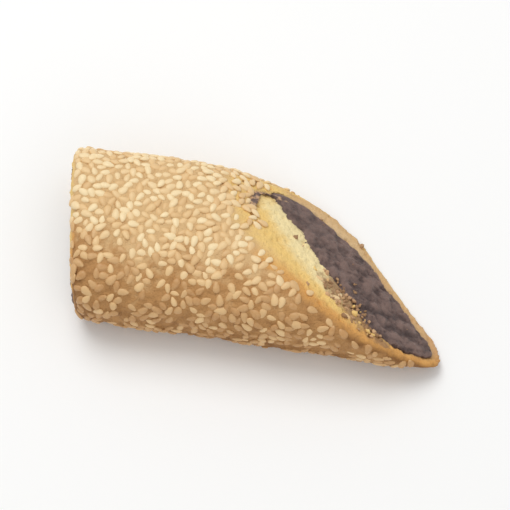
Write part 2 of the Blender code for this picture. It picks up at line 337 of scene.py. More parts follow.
class BiscuitColours(PropertyGroup):
    """Colours of the finishes."""

    crust_pale: colour("Pale crust", "#DAB582", "Crust on top, where it is least baked")
    crust_golden: colour("Golden crust", "#BA8A55", "Crust on the sides")
    crust_brown: colour("Brown crust", "#8E6133", "Crust where it is most baked")
    crumb_pale: colour("Pale crumb", "#F8E3AB", "Cut dough in the middle")
    crumb_yellow: colour("Yellow crumb", "#F2CC7E", "Cut dough nearer the crust")
    # The orange is also laid into the crumb's hollows as painted shade.
    crumb_orange: colour("Orange lip", "#DCA25A", "Dough beside a cut, where the oven has toasted it")
    crumb_tan: colour("Tan crumb", "#CFA67C", "Cut dough under the paste")
    crumb_stained: colour("Stained crumb", "#A07A55", "Cut dough with a smear of paste on it")
    # Painted shade and light: the paste is darker in its hollows and lighter on its lumps.
    paste_dark: colour("Dark paste", "#44322F", "Date paste in its hollows")
    paste_light: colour("Light paste", "#80675E", "Date paste on its lumps")
    seed_pale: colour("Pale seed", "#F4DEB2", "A seed that has hardly coloured")
    seed_golden: colour("Golden seed", "#E4BF8A", "A seed that the oven has coloured")
    seed_brown: colour("Brown seed", "#B5824C", "The few most toasted seeds")
    floor: colour("Floor", "#F7F7F6", "The surface that the biscuit lies on")


class StageSizes(PropertyGroup):
    """Camera, lights and floor."""

    azimuth: turn("Azimuth", 9.2, "Direction of the camera, counted from the front towards +X")
    elevation: turn("Elevation", 65, "Height of the camera above the horizon")
    distance: length("Distance", 560, "From the camera to the biscuit")
    lens: number("Lens", 171, "Focal length in millimetres")
    floor_side: length("Floor side", 6000, "Side of the floor")
    key_power: number("Key light", 3.4, "Power of the large light above, in watts")
    fill_power: number("Fill light", 0.8, "Power of the light in front, in watts")
    sky: number("Sky", 0.62, "Strength of the light from all round")


class DateBiscuit(PropertyGroup):
    """Everything that a user can change."""

    roll: PointerProperty(name="Roll", type=RollSizes)
    baking: PointerProperty(name="Baking", type=BakingStrengths)
    paste: PointerProperty(name="Date paste", type=PasteSizes)
    relief: PointerProperty(name="Relief", type=ReliefSizes)
    sesame: PointerProperty(name="Sesame", type=SesameSizes)
    crumbs: PointerProperty(name="Crumbs", type=CrumbSizes)
    colours: PointerProperty(name="Colours", type=BiscuitColours)
    stage: PointerProperty(name="Stage", type=StageSizes)


def settings_of(context):
    """The scene's own sizes and colours."""
    return context.scene.date_biscuit


def values_of(group, names):
    """The named values of a property group, by name."""
    return {name: getattr(group, name) for name in names}


# Form of the roll and of the paste, in the roll's own coordinates


def signed_power(value, power):
    """The power of a value's size, with the value's sign."""
    return np.sign(value) * np.abs(value) ** power


def smooth_step(low, high, value):
    """Rises smoothly from 0 at low to 1 at high. High may be the lower number."""
    share = np.clip((value - low) / (high - low), 0, 1)
    return share * share * (3 - 2 * share)


def noise_at(points, size):
    """Noise from about -1 to 1 at each point, with features of this size."""
    return np.array([noise.noise(Vector(point) / size) for point in points.reshape(-1, 3)])


def round_about(steps):
    """Angles of a full turn, in even steps."""
    return np.linspace(0, 2 * math.pi, steps, endpoint=False)


def roll_outline(roll, angle):
    """(y, z) on the roll's outline, counted from the back over the top, with a flat base."""
    over_waist = np.sin(angle) >= 0
    power = 2 / np.where(over_waist, roll.top_power, roll.base_power)
    rise = np.where(over_waist, roll.top_rise, roll.base_drop)
    y = roll.half_width * signed_power(np.cos(angle), power)
    z = roll.waist_height + rise * signed_power(np.sin(angle), power)
    return y, np.maximum(z, 0)


def middle_height(roll):
    """Height halfway between the base and the top."""
    return (roll.waist_height + roll.top_rise) / 2


def square_cut(roll, y, z):
    """X of the square cut at this place in the section."""
    return roll.square_cut_x - roll.square_cut_plan * y + roll.square_cut_lean * (z - middle_height(roll))


def bias_cut(roll, y, z):
    """X of the bias cut at this place in the section."""
    return roll.bias_cut_x - roll.bias_cut_plan * y - roll.bias_cut_lean * (z - middle_height(roll))


def between_cuts(roll, along, y, z):
    """X at this share of the way from the square cut to the bias cut."""
    start = square_cut(roll, y, z)
    return start + along * (bias_cut(roll, y, z) - start)


def cut_slopes(roll):
    """For the square and the bias cut, how much longer a step along X is than one straight away from it."""
    return (
        math.hypot(1, roll.square_cut_plan, roll.square_cut_lean),
        math.hypot(1, roll.bias_cut_plan, roll.bias_cut_lean),
    )


def from_cuts(roll, points):
    """How far each point lies from the square cut and from the bias cut."""
    x, y, z = points.T
    square_slope, bias_slope = cut_slopes(roll)
    return (x - square_cut(roll, y, z)) / square_slope, (bias_cut(roll, y, z) - x) / bias_slope


def rounding(roll, distance, reach, height):
    """How far an edge falls back at this distance from a cut."""
    share = np.clip(1 - distance / reach, 0, 1)
    full_height = roll.waist_height + roll.top_rise
    depth = roll.base_edge_depth + (roll.top_edge_depth - roll.base_edge_depth) * height / full_height
    return depth * (1 - np.sqrt(1 - share * share))


def crust_rings(roll, alongs, angles):
    """Points of the crust, as rings: along runs from 0 at the square cut to 1 at the bias cut."""
    along = alongs[:, None]
    y, z = roll_outline(roll, angles[None, :])
    span = bias_cut(roll, y, z) - square_cut(roll, y, z)
    inset = rounding(roll, along * span, roll.square_edge_reach, z)
    inset = inset + rounding(roll, (1 - along) * span, roll.bias_edge_reach, z)
    places = np.stack(np.broadcast_arrays(between_cuts(roll, along, y, z), y, z), axis=-1)
    lump = noise_at(places, roll.lump_size).reshape(inset.shape) * roll.lump_depth
    lump = lump * np.minimum(1, z / roll.waist_height)
    scale = 1 - (inset - lump) / np.hypot(y, z - roll.waist_height)
    y = y * scale
    z = np.maximum(roll.waist_height + (z - roll.waist_height) * scale, 0)
    return np.stack((between_cuts(roll, along, y, z), y, z), axis=-1)


def cut_rings(roll, rim, cut, shares):
    """Rings on a cut face: its rim, shrunk to each of these shares about the middle of the section."""
    rings = []
    for share in shares:
        y = rim[:, 1] * share
        z = roll.waist_height + (rim[:, 2] - roll.waist_height) * share
        rings.append(np.stack((cut(roll, y, z), y, z), axis=-1))
    return rings


def rims_of(roll, steps):
    """The crust's last ring at the square cut and at the bias cut."""
    return crust_rings(roll, np.array([0.0, 1.0]), round_about(steps))


def paste_centre_line(paste, steps):
    """Arrays of y, z, heading and half thickness, from the band's front end to the tip of its tail."""
    flat = np.linspace(0, 1, steps, endpoint=False)
    band = (
        paste.band_front_y + (paste.rise_start_y - paste.band_front_y) * flat,
        np.full(steps, paste.band_height),
        np.zeros(steps),
        np.full(steps, paste.band_half),
    )
    share = np.linspace(0, 1, steps)
    heading = paste.rise_turn * share
    rise = (
        paste.rise_start_y + paste.rise_radius * np.sin(heading),
        paste.band_height + paste.rise_radius * (1 - np.cos(heading)),
        heading,
        paste.band_half + (paste.curl_half - paste.band_half) * share,
    )
    share = share[1:]
    blunt = np.sqrt(np.maximum(0, 1 - (share / paste.curl_blunt) ** 2))
    heading = paste.rise_turn + paste.curl_turn * share
    last_y, last_z, last_heading = (values[-1] for values in rise[:3])
    curl = (
        last_y + paste.curl_radius * (np.sin(heading) - math.sin(last_heading)),
        last_z - paste.curl_radius * (np.cos(heading) - math.cos(last_heading)),
        heading,
        paste.tail_half + (paste.curl_half - paste.tail_half) * blunt,
    )
    ahead = paste.tail_length * share
    last_y, last_z, last_heading = (values[-1] for values in curl[:3])
    tail = (
        last_y + ahead * math.cos(last_heading),
        last_z + ahead * math.sin(last_heading),
        np.full(len(ahead), last_heading),
        np.full(len(ahead), paste.tail_half),
    )
    return tuple(np.concatenate(values) for values in zip(band, rise, curl, tail))


def paste_outline(paste, grow, steps=24):
    """The paste's outline, grown all round, as closed arrays: y, z, outward direction and fullness.

    Fullness is 1 where the band has its full thickness, and less where it thins, so that fine relief fits.
    """
    y, z, heading, half = paste_centre_line(paste, steps)
    round_front = math.pi / 2 + math.pi * np.arange(1, steps) / steps
    under, over = heading - math.pi / 2, (heading + math.pi / 2)[::-1]
    out = np.concatenate((round_front, under, heading[-1:], over))
    front = np.full(len(round_front), 0)
    order = np.arange(len(y))
    at = np.concatenate((front, order, order[-1:], order[::-1]))
    fullness = half[at] / paste.band_half
    reach = half[at] + (grow * fullness if grow > 0 else np.maximum(grow, -paste.most_shrunk * half[at]))
    return y[at] + reach * np.cos(out), z[at] + reach * np.sin(out), out, fullness


def paste_rings(roll, paste, stations):
    """Rings of the paste. Each station is (share of the length, overrun along X, growth)."""
    rings = []
    for along, overrun, grow in stations:
        y, z, out, fullness = paste_outline(paste, grow)
        places = np.stack((between_cuts(roll, along, y, z), y, z), axis=-1)
        wave = noise_at(places, paste.wobble_size) * paste.wobble_depth * fullness
        y, z = y + wave * np.cos(out), z + wave * np.sin(out)
        rings.append(np.stack((between_cuts(roll, along, y, z) + overrun, y, z), axis=-1))
    return rings


def roll_to_frame(roll, paste):
    """What moves the roll's own coordinates to the frame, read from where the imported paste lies.

    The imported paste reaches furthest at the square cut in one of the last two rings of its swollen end.
    """
    lows = []
    for overrun, grow in ((paste.bulge, -paste.edge_inset), (paste.bulge / 2, -paste.edge_inset / 4)):
        y, z, *_ = paste_outline(paste, grow)
        lows.append(np.min(square_cut(roll, y, z) - overrun * cut_slopes(roll)[0]))
    y, z, *_ = paste_outline(paste, 0)
    own = Vector((min(lows), np.min(y), np.min(z)))
    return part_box("date_filling")[0] - own


# Measuring


def nearest(points, targets):
    """For each point, the distance to the nearest target and which one it is."""
    distances, places = [], []
    for part in np.array_split(points, 80):
        squares = ((part[:, None] - targets[None]) ** 2).sum(-1)
        distances.append(np.sqrt(squares.min(-1)))
        places.append(squares.argmin(-1))
    return np.concatenate(distances), np.concatenate(places)


def nearest_on_paste(paste, points):
    """For each point, its distance from the paste's outline, across the roll, and the fullness there."""
    y, z, _, fullness = paste_outline(paste, 0)
    distances, places = nearest(points[:, 1:], np.stack((y, z), axis=-1))
    return distances, fullness[places]


def about_waist(roll, points):
    """Each point's direction and distance from the middle of the section at the waist."""
    y, z = points[:, 1], points[:, 2] - roll.waist_height
    return np.arctan2(z, y), np.hypot(z, y)


def depth_inside(roll, points, rim):
    """How far inside a rim each point lies, measured across the roll. Outside it is negative."""
    rim_turn, rim_radius = about_waist(roll, rim)
    point_turn, point_radius = about_waist(roll, points)
    order = np.argsort(rim_turn)
    allowed = np.interp(point_turn, rim_turn[order], rim_radius[order], period=2 * math.pi)
    return allowed - point_radius


def toast_and_shade_of(roll, baking, points, rims):
    """How strongly the crust is browned, from 0 to 1: most at the base, low on the sides and at the front.

    The share at the front is partly painted shade, and the share towards the square end is painted shade.
    """
    y, z = points[:, 1] / roll.half_width, points[:, 2]
    to_rim, _ = nearest(points, np.concatenate(rims))
    # Browning at the front is partly painted shade.
    front = smooth_step(-0.05, -0.95, y)
    low = smooth_step(13 * MM, 3 * MM, z)
    base = smooth_step(1.2 * MM, 0.3 * MM, z)
    # Painted shade: darker towards the square end, in front.
    shade_at_square_end = smooth_step(-16 * MM, -34 * MM, points[:, 0]) * smooth_step(0.5, -0.3, y)
    edge = smooth_step(3.5 * MM, 0.3 * MM, to_rim)
    edge = edge * (baking.edge_at_back + (1 - baking.edge_at_back) * front)
    by_side = baking.front * front + baking.low * low + baking.base * base + baking.shade_at_square_end * shade_at_square_end
    return np.clip(baking.everywhere + by_side + baking.edge * edge, 0, 1)


# Meshes


def linked(name, data):
    """A new object with this mesh, lamp or camera, in the scene."""
    obj = bpy.data.objects.new(name, data)
    bpy.context.scene.collection.objects.link(obj)
    return obj


def mesh_of(name, bm):
    """A mesh of what was built in bm, which is then freed."""
    mesh = bpy.data.meshes.new(name)
    bm.to_mesh(mesh)
    bm.free()
    return mesh


def side_faces(ring_count, count):
    """The faces between neighbouring rings of count points each."""
    faces = []
    for start in range(0, (ring_count - 1) * count, count):
        for i in range(count):
            j = (i + 1) % count
            faces.append((start + i, start + count + i, start + count + j, start + j))
    return faces


def lofted(name, rings):
    """A closed object through rings with the same number of points."""
    count = len(rings[0])
    points = np.concatenate(rings)
    ends = [tuple(range(count)), tuple(range(len(points) - count, len(points)))]
    mesh = bpy.data.meshes.new(name)
    mesh.from_pydata(points.tolist(), [], side_faces(len(rings), count) + ends)
    point_outwards(mesh)
    return linked(name, mesh)


def open_sheet(name, rings, shift):
    """An object with the open sheet through these rings, moved by shift."""
    mesh = bpy.data.meshes.new(name)
    places = rings.reshape(-1, 3) + np.array(shift)
    mesh.from_pydata(places.tolist(), [], side_faces(len(rings), rings.shape[1]))
    return linked(name, mesh)


def point_outwards(mesh):
    """Turns every face of a mesh outwards."""
    bm = bmesh.new()
    bm.from_mesh(mesh)
    bmesh.ops.recalc_face_normals(bm, faces=bm.faces)
    bm.to_mesh(mesh)
    bm.free()


def apply_modifiers(obj):
    """Replaces the object's mesh by what its modifiers make of it, attributes included."""
    bpy.context.view_layer.update()
    graph = bpy.context.evaluated_depsgraph_get()
    made = bpy.data.meshes.new_from_object(
        obj.evaluated_get(graph), preserve_all_data_layers=True, depsgraph=graph
    )
    obj.modifiers.clear()
    old, obj.data = obj.data, made
    bpy.data.meshes.remove(old)
    made.name = obj.name


def remesh(obj, voxel):
    """Gives the object an even skin of small faces."""
    modifier = obj.modifiers.new("remesh", "REMESH")
    modifier.mode = "VOXEL"
    modifier.voxel_size = voxel
    apply_modifiers(obj)


def points_of(mesh):
    """Every vertex's place, as an array of rows."""
    values = np.empty(len(mesh.vertices) * 3, np.float32)
    mesh.vertices.foreach_get("co", values)
    return values.reshape(-1, 3).astype(float)


def set_attributes(mesh, **fields):
    """Numbers at each vertex, by name, for the node trees and the materials to read."""
    for name, values in fields.items():
        attribute = mesh.attributes.new(name, "FLOAT", "POINT")
        attribute.data.foreach_set("value", np.asarray(values, np.float32))


def remove_all(objects):
    """Removes objects, and each mesh that nothing else uses."""
    for obj in objects:
        mesh = obj.data
        bpy.data.objects.remove(obj)
        if not mesh.users:
            bpy.data.meshes.remove(mesh)


def finish_piece(obj, material, replaced=()):
    """Gives a finished piece its material and hands it over."""
    obj.data.materials.clear()
    obj.data.materials.append(material)
    obj.data.shade_smooth()
    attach(obj, "root")
    if replaced:
        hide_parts(*replaced)


def sow(context, carrier, shapes, sizes, material):
    """Sows shapes over a carrier, which becomes the finished piece."""
    kinds = bpy.data.collections.new(carrier.name + "_kinds")
    context.scene.collection.children.link(kinds)
    for number_of, shape in enumerate(shapes):
        kinds.objects.link(bpy.data.objects.new(f"{carrier.name}_{number_of}", shape))
    values = values_of(sizes, (*SOWING, "draw"))
    run_tree(carrier, sowing_tree(), {"pieces": kinds, "finish": material, **values})
    remove_all(list(kinds.objects))
    bpy.data.collections.remove(kinds)
    finish_piece(carrier, material)


# Node trees

MATH = "ShaderNodeMath"
RANGE = "ShaderNodeMapRange"
SMOOTH = {"interpolation_type": "SMOOTHSTEP"}
STORED = "GeometryNodeInputNamedAttribute"
SHOWN = "ShaderNodeAttribute"
BUMP = "ShaderNodeBump"

# A random value's inputs 2 and 3 and its output 1 are those for plain numbers
RANDOM = "FunctionNodeRandomValue"

# A mix's inputs 6 and 7 and its output 2 are those for colours
MIX = "ShaderNodeMix"
IN_COLOUR = {"data_type": "RGBA", "out": 2}


def fill(tree, made, values):
    """Gives a node's inputs their values: a socket is linked, anything else is set on the input itself."""
    for name, value in values:
        socket = made.inputs[name]
        if isinstance(value, bpy.types.NodeSocket):
            tree.links.new(value, socket)
        elif socket.type == "RGBA":
            socket.default_value = (*value, 1.0)
        else:
            socket.default_value = value


def node(tree, kind, *values, inputs=None, out=0, **settings):
    """Adds a node with its settings and inputs, and gives the output, or the several outputs, named by out.

    Values go to the node's first inputs in order, and inputs holds others by name or place.
    """
    made = tree.nodes.new(kind)
    for name, value in settings.items():
        setattr(made, name, value)
    fill(tree, made, [*enumerate(values), *(inputs or {}).items()])
    if isinstance(out, tuple):
        return [made.outputs[name] for name in out]
    return made.outputs[out] if len(made.outputs) else None


def new_tree(name, sizes, others):
    """A geometry tree with named inputs for its sizes and for others, and the outputs that give them."""
    tree = bpy.data.node_groups.new(name, "GeometryNodeTree")
    tree.is_modifier = True
    tree.interface.new_socket("Geometry", in_out="INPUT", socket_type="NodeSocketGeometry")
    for label, kind in {**dict.fromkeys(sizes, "Float"), **others}.items():
        tree.interface.new_socket(label, in_out="INPUT", socket_type="NodeSocket" + kind)
    tree.interface.new_socket("Geometry", in_out="OUTPUT", socket_type="NodeSocketGeometry")
    return tree, tree.nodes.new("NodeGroupInput").outputs


def run_tree(obj, tree, values):
    """Runs a geometry tree on the object with these named values, and keeps the plain mesh."""
    modifier = obj.modifiers.new(tree.name, "NODES")
    modifier.node_group = tree
    for item in tree.interface.items_tree:
        if item.in_out == "INPUT" and item.name in values:
            modifier[item.identifier] = values[item.name]
    apply_modifiers(obj)


def noise_height(tree, size, depth, mask, detail, roughness=0.55):
    """Socket with a height from about minus depth to depth, as noise with features of this size."""
    scale = node(tree, MATH, 1.0, size, operation="DIVIDE")
    inputs = {"Scale": scale, "Detail": detail, "Roughness": roughness}
    drawn = node(tree, "ShaderNodeTexNoise", inputs=inputs)
    centred = node(tree, RANGE, drawn, NOISE_LOW, NOISE_HIGH, -1.0, 1.0, clamp=False)
    height = node(tree, MATH, centred, depth, operation="MULTIPLY")
    return node(tree, MATH, height, mask, operation="MULTIPLY")


def pit_height(tree, size, depth, mask):
    """Socket with pits of this depth, one in each cell of this size."""
    scale = node(tree, MATH, 1.0, size, operation="DIVIDE")
    inputs = {"Scale": scale, "Randomness": 1.0}
    from_middle = node(tree, "ShaderNodeTexVoronoi", inputs=inputs, out="Distance", feature="F1")
    pit = node(tree, RANGE, from_middle, 0.12, 0.42, -1.0, 0.0, **SMOOTH)
    height = node(tree, MATH, pit, depth, operation="MULTIPLY")
    return node(tree, MATH, height, mask, operation="MULTIPLY")


def moved(tree, geometry, direction, by):
    """Socket with the geometry moved along a direction by this much."""
    offset = node(tree, "ShaderNodeVectorMath", direction, inputs={"Scale": by}, operation="SCALE")
    return node(tree, "GeometryNodeSetPosition", geometry, inputs={"Offset": offset})


def at_least(tree, geometry, lowest):
    """Socket with the geometry, pressed flat softly so that every point lies higher than this.

    Heights up to SQUEEZED above the lowest one are squeezed towards it without ever falling level, so pieces
    that overlap under the base keep faces of their own.
    """
    place = node(tree, "GeometryNodeInputPosition")
    x, y, z = node(tree, "ShaderNodeSeparateXYZ", place, out=(0, 1, 2))
    above = node(tree, MATH, z, lowest, operation="SUBTRACT")
    share = node(tree, MATH, above, SQUEEZED, operation="DIVIDE")
    share = node(tree, MATH, share, 1.0, operation="MINIMUM")
    left = node(tree, MATH, share, 1.0, operation="SUBTRACT")
    left = node(tree, MATH, left, operation="EXPONENT")
    left = node(tree, MATH, left, SQUEEZED, operation="MULTIPLY")
    floor = node(tree, MATH, left, lowest, operation="ADD")
    height = node(tree, MATH, z, floor, operation="MAXIMUM")
    raised = node(tree, "ShaderNodeCombineXYZ", x, y, height)
    return node(tree, "GeometryNodeSetPosition", geometry, inputs={"Position": raised})


def end_tree(tree, geometry, lowest, finish):
    """Ends a tree: everything real, pressed flat at the base, and in its finish."""
    real = node(tree, "GeometryNodeRealizeInstances", geometry)
    resting = at_least(tree, real, lowest)
    finished = node(tree, "GeometryNodeSetMaterial", resting, inputs={"Material": finish})
    node(tree, "NodeGroupOutput", finished)
    return tree


def push_out(tree, given, heights):
    """Moves each point along its normal by the sum of these heights, and keeps the sum as relief."""
    total = heights[0]
    for height in heights[1:]:
        total = node(tree, MATH, total, height, operation="ADD")
    kept = node(
        tree,
        "GeometryNodeStoreNamedAttribute",
        given["Geometry"],
        inputs={"Name": "relief", "Value": total},
        data_type="FLOAT",
        domain="POINT",
    )
    pushed = moved(tree, kept, node(tree, "GeometryNodeInputNormal"), total)
    return end_tree(tree, pushed, given["base_lift"], given["finish"])


def dough_relief_tree():
    """Crumbs and pores where the dough is cut, wrinkles on the crust, and a rise round each seed."""
    tree, given = new_tree("dough_relief", DOUGH_RELIEF, {"seeds": "Object", "finish": "Material"})
    cut, swollen, liftable = (
        node(tree, STORED, inputs={"Name": name}, data_type="FLOAT")
        for name in ("cut_face", "swollen", "liftable")
    )
    crust = node(tree, MATH, 1.0, cut, operation="SUBTRACT")
    seeds = node(tree, "GeometryNodeObjectInfo", given["seeds"], out="Geometry")
    near = node(tree, "GeometryNodeProximity", seeds, out="Distance", target_element="FACES")
    rise = node(tree, RANGE, near, 0.0, given["seed_reach"], given["seed_rise"], 0.0, **SMOOTH)
    heights = [
        noise_height(tree, given["crumb_size"], given["crumb_depth"], cut, detail=5.0, roughness=0.65),
        pit_height(tree, given["pore_size"], given["pore_depth"], cut),
        noise_height(tree, given["wrinkle_size"], given["wrinkle_depth"], crust, detail=3.0),
        node(tree, MATH, rise, liftable, operation="MULTIPLY"),
        node(tree, MATH, swollen, given["swell"], operation="MULTIPLY"),
    ]
    return push_out(tree, given, heights)


def paste_relief_tree():
    """Lumps of chopped date and torn fibres."""
    tree, given = new_tree("paste_relief", PASTE_RELIEF, {"finish": "Material"})
    full = node(tree, STORED, inputs={"Name": "fullness"}, data_type="FLOAT")
    heights = [
        noise_height(tree, given["paste_lump_size"], given["paste_lump_depth"], full, detail=2.0),
        noise_height(tree, given["fibre_size"], given["fibre_depth"], full, detail=3.0, roughness=0.7),
    ]
    return push_out(tree, given, heights)


def sowing_tree():
    """Sows the pieces of a collection over a surface, more where its attribute sow is high."""
    others = {"pieces": "Collection", "draw": "Int", "finish": "Material"}
    tree, given = new_tree("sow_on_surface", SOWING, others)
    sown_at, baked = (
        node(tree, STORED, inputs={"Name": name}, data_type="FLOAT") for name in ("sow", "baked")
    )
    places, upwards, upright = node(
        tree,
        "GeometryNodeDistributePointsOnFaces",
        given["Geometry"],
        inputs={
            "Distance Min": given["spacing"],
            "Density Max": CANDIDATES,
            "Density Factor": sown_at,
            "Seed": given["draw"],
        },
        out=("Points", "Normal", "Rotation"),
        distribute_method="POISSON",
    )
    # Each point draws its own height in the pile, lean and turn, size and tone.
    pile, size, tone = (
        node(tree, RANDOM, inputs={2: low, 3: high, "Seed": draw}, out=1, data_type="FLOAT")
        for low, high, draw in (
            (0.0, given["pile"], PILE_DRAW),
            (given["smallest"], given["largest"], given["draw"]),
            (0.0, 1.0, TONE_DRAW),
        )
    )
    height = node(tree, MATH, pile, given["sink"], operation="SUBTRACT")
    placed = moved(tree, places, upwards, height)
    back = node(tree, MATH, given["tilt"], -1.0, operation="MULTIPLY")
    least = node(tree, "ShaderNodeCombineXYZ", back, back, 0.0)
    most = node(tree, "ShaderNodeCombineXYZ", given["tilt"], given["tilt"], 2 * math.pi)
    inputs = {"Min": least, "Max": most, "Seed": given["draw"]}
    spin = node(tree, RANDOM, inputs=inputs, data_type="FLOAT_VECTOR")
    facing = node(tree, "FunctionNodeRotateRotation", upright, spin, rotation_space="LOCAL")
    inputs = {"Separate Children": True, "Reset Children": True}
    kinds = node(tree, "GeometryNodeCollectionInfo", given["pieces"], inputs=inputs)
    sown = node(
        tree,
        "GeometryNodeInstanceOnPoints",
        placed,
        inputs={"Instance": kinds, "Pick Instance": True, "Rotation": facing, "Scale": size},
    )
    # The surface's baked value holds toasting and painted shade.
    tone = node(tree, MATH, tone, baked, operation="ADD")
    toned = node(
        tree,
        "GeometryNodeStoreNamedAttribute",
        sown,
        inputs={"Name": "tone", "Value": tone},
        data_type="FLOAT",
        domain="INSTANCE",
    )
    return end_tree(tree, toned, OFF_FLOOR, given["finish"])


# Finishes

# Depths from the rim inwards at which a colour of the cut dough starts and is full. The crust's are negative.
LIP_ORANGE = (-5.0 * MM, -2.4 * MM)
CRUMB_YELLOW = (-3.0 * MM, 0.6 * MM)
CRUMB_PALE = (0.8 * MM, 4.2 * MM)
STAINED_RIM = (0.9 * MM, 0.1 * MM)


def new_material(name):
    """A material, its tree and its shader."""
    material = bpy.data.materials.new(name)
    material.use_nodes = True
    return material, material.node_tree, material.node_tree.nodes["Principled BSDF"]


def layered(tree, shade, layers):
    """Socket with colours laid over a first one, in this order.

    A layer is its colour, the value that brings it in, where that starts and is full, and how much shows.
    """
    for colour_of, value, low, high, most in layers:
        share = node(tree, RANGE, value, low, high, 0.0, most, **SMOOTH)
        shade = node(tree, MIX, share, inputs={6: shade, 7: colour_of}, **IN_COLOUR)
    return shade


def pattern(tree, millimetres, detail=3.0, roughness=0.55):
    """Socket with noise from 0 to 1 on the piece's own coordinates, with features of this real size."""
    place = node(tree, "ShaderNodeTexCoord", out="Object")
    scale = 1 / (millimetres * MM)
    inputs = {"Vector": place, "Scale": scale, "Detail": detail, "Roughness": roughness}
    drawn = node(tree, "ShaderNodeTexNoise", inputs=inputs)
    return node(tree, RANGE, drawn, NOISE_LOW, NOISE_HIGH)


def swing(tree, value, width):
    """Socket that swings by half this width either way as the value goes from 0 to 1."""
    centred = node(tree, MATH, value, 0.5, operation="SUBTRACT")
    return node(tree, MATH, centred, width, operation="MULTIPLY")


def baked_dough(colours):
    """Shortcrust dough, baked: a dry golden skin in soft patches, and a short, crumbly yellow inside."""
    material, tree, shader = new_material("baked_shortcrust")
    patches, mottle, grain = pattern(tree, 9.0), pattern(tree, 1.8, detail=4.0), pattern(tree, 0.45)
    names = ("toast", "skin_depth", "browned", "relief", "cut_face", "under_paste", "smeared")
    toast, skin_depth, browned, relief, cut, under, smeared = (
        node(tree, SHOWN, attribute_name=name, out="Fac") for name in names
    )
    to_paste = node(tree, SHOWN, attribute_name="paste_distance", out="Fac")
    # The skin is browner in patches and in small mottles.
    baked = node(tree, MATH, toast, swing(tree, patches, 0.45), operation="ADD")
    baked = node(tree, MATH, baked, swing(tree, mottle, 0.4), operation="ADD", use_clamp=True)
    # The crust's colour follows its toasting, with painted shade at the front and towards the square end.
    skin = [(colours.crust_golden, baked, 0.1, 0.55, 1.0), (colours.crust_brown, baked, 0.55, 1.0, 1.0)]
    crust = layered(tree, colours.crust_pale, skin)
    # It turns orange towards a cut, then yellow over its rounded lip, and pale some 4 mm inside.
    depth = node(tree, MATH, skin_depth, swing(tree, mottle, 1.6 * MM), operation="ADD")
    heat = node(tree, MATH, browned, 3.2 * MM, operation="MULTIPLY")
    depth = node(tree, MATH, depth, heat, operation="SUBTRACT")
    lip = layered(tree, colours.crust_pale, [(colours.crumb_orange, browned, 0.0, 0.5, 1.0)])
    inside = [
        (lip, depth, *LIP_ORANGE, 1.0),
        (colours.crumb_yellow, depth, *CRUMB_YELLOW, 1.0),
        (colours.crumb_pale, depth, *CRUMB_PALE, 1.0),
    ]
    shown = layered(tree, crust, inside)
    # Painted shade: the hollows of the crumb are darkened towards orange.
    hollow = node(tree, RANGE, relief, 0.0, -0.5 * MM, 0.0, 0.4, **SMOOTH)
    hollow = node(tree, MATH, hollow, cut, operation="MULTIPLY")
    shown = node(tree, MIX, hollow, inputs={6: shown, 7: colours.crumb_orange}, **IN_COLOUR)
    # Dough under the paste is toasted by the tray, and above its front end the knife has smeared paste on it.
    smear = node(tree, MATH, mottle, 0.7, operation="MULTIPLY")
    smear = node(tree, MATH, smear, smeared, operation="ADD")
    marks = [(colours.crumb_tan, under, 0.0, 1.0, 0.7), (colours.crumb_stained, smear, 0.65, 1.25, 0.9)]
    shown = layered(tree, shown, marks)
    stain = node(tree, RANGE, to_paste, *STAINED_RIM, 0.0, 0.3, **SMOOTH)
    stain = node(tree, MATH, stain, cut, operation="MULTIPLY")
    grained = node(tree, BUMP, inputs={"Strength": 1.0, "Distance": 0.12 * MM, "Height": grain})
    mottled = {"Strength": 1.0, "Distance": 0.25 * MM, "Height": mottle, "Normal": grained}
    values = {
        "Base Color": node(tree, MIX, stain, inputs={6: shown, 7: colours.paste_light}, **IN_COLOUR),
        "Roughness": node(tree, RANGE, grain, 0.0, 1.0, 0.58, 0.74, **SMOOTH),
        "Normal": node(tree, BUMP, inputs=mottled),
        "Specular IOR Level": 0.35,
        "IOR": 1.45,
    }
    fill(tree, shader, values.items())
    return material


def sesame_hull(colours):
    """Hulled sesame, baked: smooth waxy seeds from cream to gold, with a faintly darker point."""
    material, tree, shader = new_material("toasted_sesame")
    tone, tip = (node(tree, SHOWN, attribute_name=name, out="Fac") for name in ("tone", "towards_tip"))
    layers = [
        (colours.seed_golden, tone, 0.25, 1.0, 1.0),
        (colours.seed_brown, tone, 0.85, 1.65, 0.9),
        (colours.seed_golden, tip, 0.45, 1.0, 0.45),
    ]
    shade = layered(tree, colours.seed_pale, layers)
    mottle = pattern(tree, 0.7)
    share = node(tree, MATH, mottle, 0.3, operation="MULTIPLY")
    uneven = {"Strength": 1.0, "Distance": 0.03 * MM, "Height": pattern(tree, 0.35)}
    values = {
        "Base Color": node(tree, MIX, share, inputs={6: shade, 7: colours.seed_golden}, **IN_COLOUR),
        "Roughness": node(tree, RANGE, mottle, 0.0, 1.0, 0.38, 0.55, **SMOOTH),
        "Normal": node(tree, BUMP, inputs=uneven),
        "Specular IOR Level": 0.45,
        "IOR": 1.47,
    }
    fill(tree, shader, values.items())
    return material


